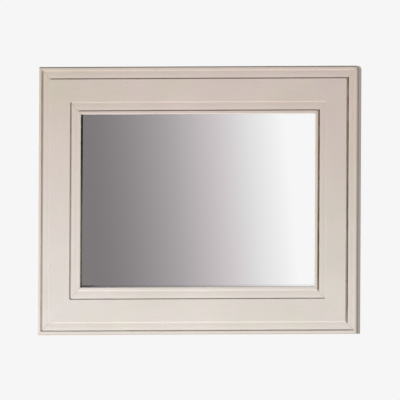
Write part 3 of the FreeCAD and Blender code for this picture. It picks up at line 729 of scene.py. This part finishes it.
def in_frame(side, along, depth, inset):
    """A place on a member, in the frame."""
    return member_to_frame(side) @ Vector((along, depth, inset))


# Each turn button as its member and its place along it, in spacings from the middle.
BUTTONS = {
    "top_left": ("top", 1), "top_middle": ("top", 0), "top_right": ("top", -1),
    "bottom_left": ("bottom", -1), "bottom_middle": ("bottom", 0), "bottom_right": ("bottom", 1),
    "left_upper": ("left", -0.5), "left_lower": ("left", 0.5),
    "right_upper": ("right", 0.5), "right_lower": ("right", -0.5),
}


def button_place(name, depth):
    """Where a button turns, at a depth."""
    side, steps = BUTTONS[name]
    return in_frame(side, MEMBERS[side][0] / 2 + steps * BUTTON_SPACING, depth, BUTTON_INSET)


SCREW_PLACES = {
    "corner_plate_screws": [in_frame(side, along, PLATE_BACK, PLATE_INSET) for side in MEMBERS
                            for hole in PLATE_HOLES for along in (hole, MEMBERS[side][0] - hole)],
    "turn_button_screws": [button_place(name, BUTTON_BACK) for name in BUTTONS],
    "hanger_screws": [in_frame(side, along, STRAP_BACK, STRAP_INSET) for hole in STRAP_HOLES
                      for side, along in (("left", hole), ("right", FRAME_HEIGHT - hole))],
}
zinc = bright_zinc()
dress([f"corner_plate_{corner}" for corner in CORNERS], zinc)
# Yellow passivated zinc on steel screws: pale brass with a faint green and pink bloom.
yellow_zinc = mottled("zinc_plate_yellow", "C2AE72", 0.3, "A99A62", "D3BB84", 240, metallic=1.0)[0]
turned_tree = turned_pieces_tree()
screw_drawing, recess = screw_profile(), cross_recess()
for node, places in SCREW_PLACES.items():
    screws = made_by(turned_tree, places_mesh(places), node, {
        "Profile": screw_drawing, "Recess": recess, "Sides": SCREW_SIDES, "Finish": yellow_zinc})
    fit(f"{node}_turned", screws, "frame", "screw_steel", node)
for drawing in (screw_drawing, recess):
    bpy.data.objects.remove(drawing)


# ---- Glazing tape ----
# Black closed-cell foam tape, 5 by 1 mm, cut to length and stuck behind the lip on all four sides,
# so that the pane beds without rattling.

def foam_tape():
    """Black PE foam: matt, with its skin broken into fine open cells."""
    material, add, shader = new_material("pe_foam_tape_black", "151515", 0.9)
    cells = add("TexVoronoi", add("TexCoord").outputs["Object"], Scale=1400)
    colour = add("Mix", cells, linear("0E0E0E"), linear("242424"), data_type="RGBA")
    add(shader, Base_Color=colour, Normal=add("Bump", Height=cells, Distance=0.0002))
    return material


dress([f"glazing_tape_{side}" for side in MEMBERS], foam_tape())


# ---- Mirror pane ----
# Float glass, 4 mm, silvered, its back sealed with grey paint and its edges seamed by hand. It is
# cut a little smaller than the rebate and is held against the tape by the back.

PANE_SEAM = 0.0006
# A painted shadow of the shaded lower lip, as the mirror would show it, in a dark band along the
# lower
# edge: the heights of its ragged top, how softly that ends, and the places across between which it
# fades from the left corner's strength to the rest's.
SHADOW_BAND_TOP = (SIGHT_EDGE + 0.005, SIGHT_EDGE + 0.009)
SHADOW_BAND_FADE = (-0.001, 0.001)
SHADOW_BAND_CORNER = (-0.41, -0.37)
SHADOW_BAND_STRENGTHS = (0.6, 0.13)
# A face of the pane is its front or its back when its normal is this square to it.
SQUARE = 0.999


def silvered_glass():
    """Silvered float glass: a true mirror that is nearly neutral.

    A thin dark band along its lower edge, most at the left corner, is a painted shadow of the shaded
    lower lip.
    """
    material, add, shader = new_material("mirror_silvered_glass", "F6F6F6", 0.0, 1.0)
    here = add("TexCoord").outputs["Object"]
    across, _, height = add("SeparateXYZ", here).outputs
    # the painted shadow: a ragged dark band along the lower edge, strongest at the left corner
    ragged = add("TexNoise", here, Scale=60, Detail=3)
    border = add("MapRange", ragged, 0, 1, *SHADOW_BAND_TOP)
    above = add("Math", height, border, operation="SUBTRACT")
    low = add("MapRange", above, *SHADOW_BAND_FADE, 1, 0)
    at_left = add("MapRange", across, *SHADOW_BAND_CORNER, *SHADOW_BAND_STRENGTHS)
    painted_shadow = add("Math", low, at_left, operation="MULTIPLY")
    silver = add("Mix", painted_shadow, linear("F6F6F6"), linear("2A241E"), data_type="RGBA")
    haze = add("TexNoise", here, Scale=3, Detail=2)
    film = add("MapRange", haze, 0.4, 0.7, 0.015, 0.035)
    add(shader, Base_Color=silver, Roughness=film)
    return material


# The seamed edge of float glass: bottle green, frosted by the stone.
glass_edge = mottled("float_glass_seamed_edge", "7FA494", 0.45, "6C9484", "A5C4B8", 700)[0]
# Mirror backing paint: flat grey, curtain coated, with a faint orange peel.
backing_paint = mottled("mirror_backing_paint_grey", "7A7C7C", 0.6, "727474", "848686", 300)[0]


def glass_pane():
    """The pane with its edges seamed: a mirror face, four edges and a painted back."""
    low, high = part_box("mirror_pane")
    glass = bmesh.new()
    corners = [glass.verts.new((x, y, z)) for y in (low.y, high.y)
               for x, z in ((low.x, low.z), (high.x, low.z), (high.x, high.z), (low.x, high.z))]
    sides = [(index, index + 4, (index + 1) % 4 + 4, (index + 1) % 4) for index in range(4)]
    for ring in ((0, 1, 2, 3), (7, 6, 5, 4), *sides):
        glass.faces.new([corners[index] for index in ring])
    bmesh.ops.bevel(glass, geom=glass.edges[:], offset=PANE_SEAM, segments=2, affect="EDGES",
                    profile=0.5)
    bmesh.ops.recalc_face_normals(glass, faces=glass.faces)
    for face in glass.faces:
        face.material_index = 0 if face.normal.y < -SQUARE else 2 if face.normal.y > SQUARE else 1
    mesh = bpy.data.meshes.new("mirror_pane")
    glass.to_mesh(mesh)
    glass.free()
    for material in (silvered_glass(), glass_edge, backing_paint):
        mesh.materials.append(material)
    return mesh


fit("mirror_pane_silvered", glass_pane(), "frame", "mirror", "mirror_pane")


# ---- Card and hardboard back ----
# A sheet of grey-brown card keeps dust off the silvering, and a 4 mm hardboard panel closes the
# back, its rough meshed side outwards.

def hardboard():
    """Hardboard's meshed side: dark brown wood felt, printed with the press screen's fine weave."""
    material, add, shader = mottled("hardboard_meshed_side", "6E4C31", 0.75, "5A3D27", "85603F",
                                    120, 5)
    # the screen's wires are 1.4 mm apart; they are drawn 4 mm apart so that the weave shows
    here = add("TexCoord").outputs["Object"]
    weave = [add("TexWave", here, Scale=40, bands_direction=direction).outputs["Fac"]
             for direction in ("X", "Z")]
    screen = add("Math", *weave, operation="MULTIPLY")
    add(shader, Normal=add("Bump", Height=screen, Distance=0.0003, Strength=0.5))
    return material


# Recycled card: grey-brown, matt, with short paper fibres.
grey_card = mottled("card_recycled", "9C8C74", 0.85, "8A7A62", "AE9F88", 400, 4)[0]
dress(["card_sheet"], grey_card)
dress(["back_panel"], hardboard())


# ---- Turn buttons ----
# Ten turn buttons, stamped from steel with a stiffening groove in the arm, and zinc plated. Each
# swings over the back panel on a screw of its own, driven into the inner moulding.

BUTTON_LENGTH = 0.018
BUTTON_RADIUS = 0.005
BUTTON_HOLE = 0.00185
BUTTON_SEAT = 0.0182
BUTTON_THICKNESS = 0.0015
BUTTON_ROUNDING = 0.0004
BUTTON_STEPS = 96
FACE_STEPS = 14
GROOVE_DEPTH = 0.0005
GROOVE_START = 0.0068
GROOVE_END = 0.0195
GROOVE_HALF_WIDTH = 0.0019
# A box rounded by its whole half width would fold, so it is rounded by nearly all of it.
NEARLY = 0.9999


def stamped_button_tree():
    """Geometry Nodes: carry a section round a button's outline, and press a groove in its arm."""
    tree, add, given = geometry_tree("stamped button", Int=("Steps",), Material=("Finish",),
                                     Float=("Length", "Radius", "Hole", "Groove"))
    width = add("Math", given["Radius"], 2, operation="MULTIPLY")
    reach = add("Math", given["Length"], width, operation="ADD")
    box = add("CurvePrimitiveQuadrilateral", Width=width, Height=reach)
    radius = add("Math", given["Radius"], NEARLY, operation="MULTIPLY")
    arcs = add("FilletCurve", box, Count=12, Radius=radius, mode="POLY")
    even = add("ResampleCurve", arcs, Count=given["Steps"])
    ahead = add("CombineXYZ", Y=add("Math", given["Length"], 0.5, operation="MULTIPLY"))
    moved = add("SetPosition", even, Offset=ahead)
    stored = add("StoreNamedAttribute", moved, Name="outline", Value=add("InputPosition"),
                 data_type="FLOAT_VECTOR")
    swept = add("CurveToMesh", stored, add("MeshToCurve", given["Geometry"]))
    outline = add("InputNamedAttribute", Name="outline", data_type="FLOAT_VECTOR")
    read = {name: add("InputNamedAttribute", Name=name)
            for name in ("share out", "height", "setback", "top")}

    # the rim is set back square to the outline, and the hole lies on the rays from its middle
    foot = add("SeparateXYZ", outline).outputs["Y"]
    for operation, limit in (("MAXIMUM", 0), ("MINIMUM", given["Length"])):
        foot = add("Math", foot, limit, operation=operation)
    spoke = add("VectorMath", outline, add("CombineXYZ", Y=foot), operation="SUBTRACT")
    outward = add("VectorMath", spoke, operation="NORMALIZE")
    setback = add("VectorMath", outward, read["setback"], operation="SCALE")
    rim = add("VectorMath", outline, setback, operation="SUBTRACT")
    ray = add("VectorMath", outline, operation="NORMALIZE")
    hole = add("VectorMath", ray, given["Hole"], operation="SCALE")
    place = add("Mix", read["share out"], hole, rim, data_type="VECTOR")
    across, along, _ = add("SeparateXYZ", place).outputs

    # a stiffening groove pressed into the arm, clear of the screw's head
    off_middle = add("Math", across, operation="ABSOLUTE")
    groove, *fades = [add("MapRange", *limits, interpolation_type="SMOOTHSTEP") for limits in (
        (off_middle, 0, GROOVE_HALF_WIDTH, 1, 0),
        (along, GROOVE_START, GROOVE_START + GROOVE_HALF_WIDTH),
        (along, GROOVE_END - GROOVE_HALF_WIDTH, GROOVE_END, 1, 0))]
    for share in (*fades, read["top"], given["Groove"]):
        groove = add("Math", groove, share, operation="MULTIPLY")
    height = add("Math", read["height"], groove, operation="SUBTRACT")
    shaped = add("SetPosition", swept, Position=add("CombineXYZ", across, height, along))
    finish_tree(add, shaped, (given["Finish"], True))
    return tree


def button_section():
    """A closed section from the hole to the rim, with its share of the way, height and setback."""
    thick, eased = BUTTON_THICKNESS, BUTTON_ROUNDING
    slack = eased * (1 - math.sqrt(0.5))
    rows = [(0, 0, 0, 0), (0, thick, 0, 0)]
    rows += [(step / FACE_STEPS, thick, eased * step / FACE_STEPS, 1)
             for step in range(1, FACE_STEPS + 1)]
    rows += [(1, thick - slack, slack, 0), (1, thick - eased, 0, 0), (1, 0, 0, 0)]
    facts = [dict(zip(("share out", "height", "setback", "top"), row)) for row in rows]
    return drawn("button section", [row[:2] for row in rows], facts)


button_tree = stamped_button_tree()
for name, (side, _) in BUTTONS.items():
    node = f"turn_button_{name}"
    plate = made_by(button_tree, button_section(), node, {
        "Length": BUTTON_LENGTH, "Radius": BUTTON_RADIUS, "Hole": BUTTON_HOLE,
        "Groove": GROOVE_DEPTH, "Steps": BUTTON_STEPS, "Finish": zinc})
    pivot = Matrix.Translation(button_place(name, BUTTON_SEAT))
    plate.transform(pivot @ Matrix.Rotation(math.radians(MEMBERS[side][2]), 4, "Y"))
    fit(f"{node}_stamped", plate, node, "zinc_steel", node)


# ---- Ring hangers ----
# Two straps of zinc plated steel, each folded round the straight bar of a welded D ring and held
# to a stile by two screws. The wire of the ring is bent, butt welded and plated like the strap.

RING_BAR = {"left": (-0.51975, 0.0076, 0.7), "right": (0.51975, 0.0076, 0.7)}
RING_HALF_WIDTH = 0.0115
RING_CORNER = 0.003
BOW_CENTRE = 0.01
WIRE_RADIUS = 0.0015
WIRE_STEPS = 144
WIRE_SIDES = 20


def bent_wire_tree():
    """Geometry Nodes: sweep a round wire along a closed path."""
    tree, add, given = geometry_tree("bent wire", Float=("Radius",), Int=("Steps", "Sides"),
                                     Material=("Finish",))
    path = add("ResampleCurve", add("MeshToCurve", given["Geometry"]), Count=given["Steps"])
    wire = add("CurvePrimitiveCircle", Radius=given["Radius"], Resolution=given["Sides"])
    finish_tree(add, add("CurveToMesh", path, wire), (given["Finish"], True))
    return tree


def ring_path(bar):
    """A D from its straight bar up through two small corners into a half circle."""
    arcs = [(RING_HALF_WIDTH - RING_CORNER, RING_CORNER, RING_CORNER, -90, 0, 10),
            (0, BOW_CENTRE, RING_HALF_WIDTH, 0, 180, 48),
            (RING_CORNER - RING_HALF_WIDTH, RING_CORNER, RING_CORNER, 180, 270, 10)]
    points = []
    for across, up, radius, first, last, count in arcs:
        turns = [math.radians(first + (last - first) * step / count) for step in range(count + 1)]
        points += [Vector(bar) + Vector((across + radius * math.cos(turn), 0,
                                         up + radius * math.sin(turn))) for turn in turns]
    return drawn("ring path", points)


wire_tree = bent_wire_tree()
dress(["hanger_plate_left", "hanger_plate_right"], zinc)
for side, bar in RING_BAR.items():
    node = f"hanger_ring_{side}"
    ring = made_by(wire_tree, ring_path(bar), node, {
        "Radius": WIRE_RADIUS, "Steps": WIRE_STEPS, "Sides": WIRE_SIDES, "Finish": zinc})
    fit(f"{node}_bent", ring, node, "zinc_steel", node)


# ---- Wall bumpers ----
# Four soft discs of cast polyurethane, with adhesive on their flat side, stuck to the corners of
# the back to keep the frame off the wall.

BUMPER_INSET = 0.011
BUMPER_SIDES = 40
BUMPER_OUTLINE = [(0, 0), (0.006, 0), (0.006, 0.0008), (0.0059, 0.0012), (0.0056, 0.0015),
                  (0.005, 0.00176), (0.004, 0.0019), (0.002, 0.002), (0, 0.002)]
# Cast polyurethane: milky, a little clear, with a satin skin.
polyurethane = mottled("polyurethane_milky", "D6D4CC", 0.4, "CBC9BF", "E2E0D9", 150)[0]
bumper_drawing = turning_profile("bumper profile", BUMPER_OUTLINE)
bumper_places = [(across * (FRAME_WIDTH / 2 - BUMPER_INSET), FRAME_DEPTH / 2, up)
                 for across in (-1, 1) for up in (BUMPER_INSET, FRAME_HEIGHT - BUMPER_INSET)]
bumpers = made_by(turned_tree, places_mesh(bumper_places), "wall_bumpers", {
    "Profile": bumper_drawing, "Sides": BUMPER_SIDES, "Finish": polyurethane})
bpy.data.objects.remove(bumper_drawing)
fit("wall_bumpers_soft", bumpers, "frame", "bumper_rubber",
    *[f"wall_bumper_{corner}" for corner in CORNERS])


# ---- Studio ----
# The mirror hangs 1.2 m above a plain pale floor. The key light shines from low on the left and a
# weaker one from low in front, both from below the floor, which lets them through. The backdrop is
# an even grey-white that glass and gloss see too.

FLOOR_HEIGHT = -1.2
FLOOR_REACH = 12
FLOOR_LIFT = 0.36
BACKDROP = linear("F6F6F6")
BACKDROP_IN_GLOSS = (0.995, 0.995, 0.995, 1)
ROOM_FRONT, ROOM_REAR = (0.12, 0.10, 0.09, 1), (0.82, 0.77, 0.75, 1)
ROOM_DEPTHS = (-0.6, 0.8)


def stage_sheet(name, corners, material):
    """A flat sheet of the studio, which casts no shadow and isn't part of the object."""
    mesh = bpy.data.meshes.new(name)
    mesh.from_pydata(corners, [], [(0, 1, 2, 3)])
    mesh.materials.append(material)
    sheet = in_scene(name, mesh)
    sheet.visible_shadow = False
    return sheet


def studio_floor():
    """Matt pale paint, which the camera and gloss see a little paler than it is lit."""
    material, add, shader = mottled("floor_matt_pale", "E6E5E3", 0.8, "E3E2E0", "E9E8E6", 3)
    rays = add("LightPath").outputs
    seen = rays["Is Camera Ray"]
    for ray in ("Is Glossy Ray", "Is Transmission Ray"):
        seen = add("Math", seen, rays[ray], operation="MAXIMUM")
    lift = add("Math", seen, FLOOR_LIFT, operation="MULTIPLY")
    add(shader, Emission_Color=linear("F4F3F1"), Emission_Strength=lift)
    stage_sheet("studio_floor", [(x * FLOOR_REACH, y * FLOOR_REACH, FLOOR_HEIGHT)
                                 for x, y in ((-1, -1), (1, -1), (1, 1), (-1, 1))], material)


def studio_world():
    """Even white for the camera, glass and gloss; matt surfaces get most light from behind."""
    world = bpy.data.worlds.new("studio")
    bpy.context.scene.world = world
    world.use_nodes = True
    world.node_tree.nodes.clear()
    add = partial(add_node, world.node_tree)
    rays = add("LightPath").outputs
    depth = add("SeparateXYZ", add("TexCoord").outputs["Generated"]).outputs["Y"]
    rear = add("MapRange", depth, *ROOM_DEPTHS)
    shown = add("Mix", rear, ROOM_FRONT, ROOM_REAR, data_type="RGBA")
    mirrored = add("Math", rays["Is Glossy Ray"], rays["Is Transmission Ray"],
                   operation="MAXIMUM")
    for share, colour in ((mirrored, BACKDROP_IN_GLOSS), (rays["Is Camera Ray"], BACKDROP)):
        shown = add("Mix", share, shown, colour, data_type="RGBA")
    add("OutputWorld", Surface=add("Background", Color=shown, Strength=1.0))


# A tall card on the left that glows, though it is no lamp, and which only gloss and glass see: it is
# a painted reflection, its glow painted from grey at its outer end to white near the middle of the
# room, leaning a little to the right towards its foot. Its value rises from the darkest by a power
# of the share of the way across, which bends between two shares.
CARD_DISTANCE = 3.0
CARD_FOOT, CARD_TOP = -0.6, 1.7
CARD_OUTER, CARD_DARK, CARD_LIGHT = -2.3, -1.95, -1.10
CARD_LEAN = (0.26, 0.76, -0.063, 0)
CARD_BEND = (0.38, 0.58, 1.53, 1.42)
CARD_DARKEST, CARD_RISE = 0.223, 0.911
CARD_WHITE_SHARES = (0.6, 0.72)
CARD_TINT, CARD_WHITE = (1, 0.932, 0.963, 1), (1, 1, 1, 1)


def reflected_card():
    """A card that glows with painted shading, as the mirror's painted reflection; it is not lit."""
    material = bpy.data.materials.new("card_shaded_grey")
    material.use_nodes = True
    material.node_tree.nodes.clear()
    add = partial(add_node, material.node_tree)
    across, _, up = add("SeparateXYZ", add("TexCoord").outputs["Object"]).outputs
    way = add("MapRange", across, CARD_DARK, CARD_LIGHT, clamp=False)
    lean = add("MapRange", up, *CARD_LEAN, clamp=False)
    share = add("Math", way, lean, operation="ADD")
    share = add("Math", share, 0, operation="MAXIMUM")
    eased = add("Math", share, add("MapRange", share, *CARD_BEND), operation="POWER")
    value = add("Math", eased, CARD_RISE, CARD_DARKEST, operation="MULTIPLY_ADD")
    value = add("Math", value, 1.0, operation="MINIMUM")
    whiter = add("MapRange", share, *CARD_WHITE_SHARES)
    tint = add("Mix", whiter, CARD_TINT, CARD_WHITE, data_type="RGBA")
    add("OutputMaterial", Surface=add("Emission", Color=tint, Strength=value))
    card = stage_sheet("reflected_card", [
        (CARD_OUTER, -CARD_DISTANCE, CARD_FOOT), (CARD_LIGHT, -CARD_DISTANCE, CARD_FOOT),
        (CARD_LIGHT, -CARD_DISTANCE, CARD_TOP), (CARD_OUTER, -CARD_DISTANCE, CARD_TOP)], material)
    card.visible_camera = card.visible_diffuse = card.visible_transmission = False


studio_floor()
studio_world()
reflected_card()

# Square soft lamps, each as its place, side, power and colour, turned to the mirror's middle.
MIRROR_MIDDLE = Vector((0, 0, FRAME_HEIGHT / 2))
LAMPS = {"key_lamp": ((-6.5, -3.5, -3.0), 1.6, 630, (0.90, 0.915, 1.0)),
         "low_lamp": ((0.5, -2.5, -2.5), 1.5, 72, (0.97, 1.0, 0.92))}
for name, (place, width, power, colour) in LAMPS.items():
    light = bpy.data.lights.new(name, "AREA")
    light.shape = "SQUARE"
    light.size = width
    light.energy = power
    light.color = colour
    lamp = in_scene(name, light)
    lamp.location = place
    lamp.rotation_euler = (MIRROR_MIDDLE - Vector(place)).to_track_quat("-Z", "Y").to_euler()

# The camera: a long lens from the right, a little below the middle, so that uprights stay parallel.
AZIMUTH = math.radians(26.85)
ELEVATION = math.radians(-1.1)
TILT = math.radians(0.3)
VIEW_WIDTH = 1.3423
AIM_ACROSS, AIM_UP, DISTANCE = 0.0019, 0.4515, 4.0
lens = bpy.data.cameras.new("studio_camera")
lens.type = "ORTHO"
lens.ortho_scale = VIEW_WIDTH
lens.clip_end = 100
camera = in_scene("studio_camera", lens)
camera.matrix_world = (Matrix.Rotation(AZIMUTH, 4, "Z")
                       @ Matrix.Rotation(math.radians(90) - ELEVATION, 4, "X")
                       @ Matrix.Translation((AIM_ACROSS, AIM_UP, DISTANCE))
                       @ Matrix.Rotation(TILT, 4, "Z"))
bpy.context.scene.camera = camera
bpy.context.scene.view_settings.view_transform = "Standard"
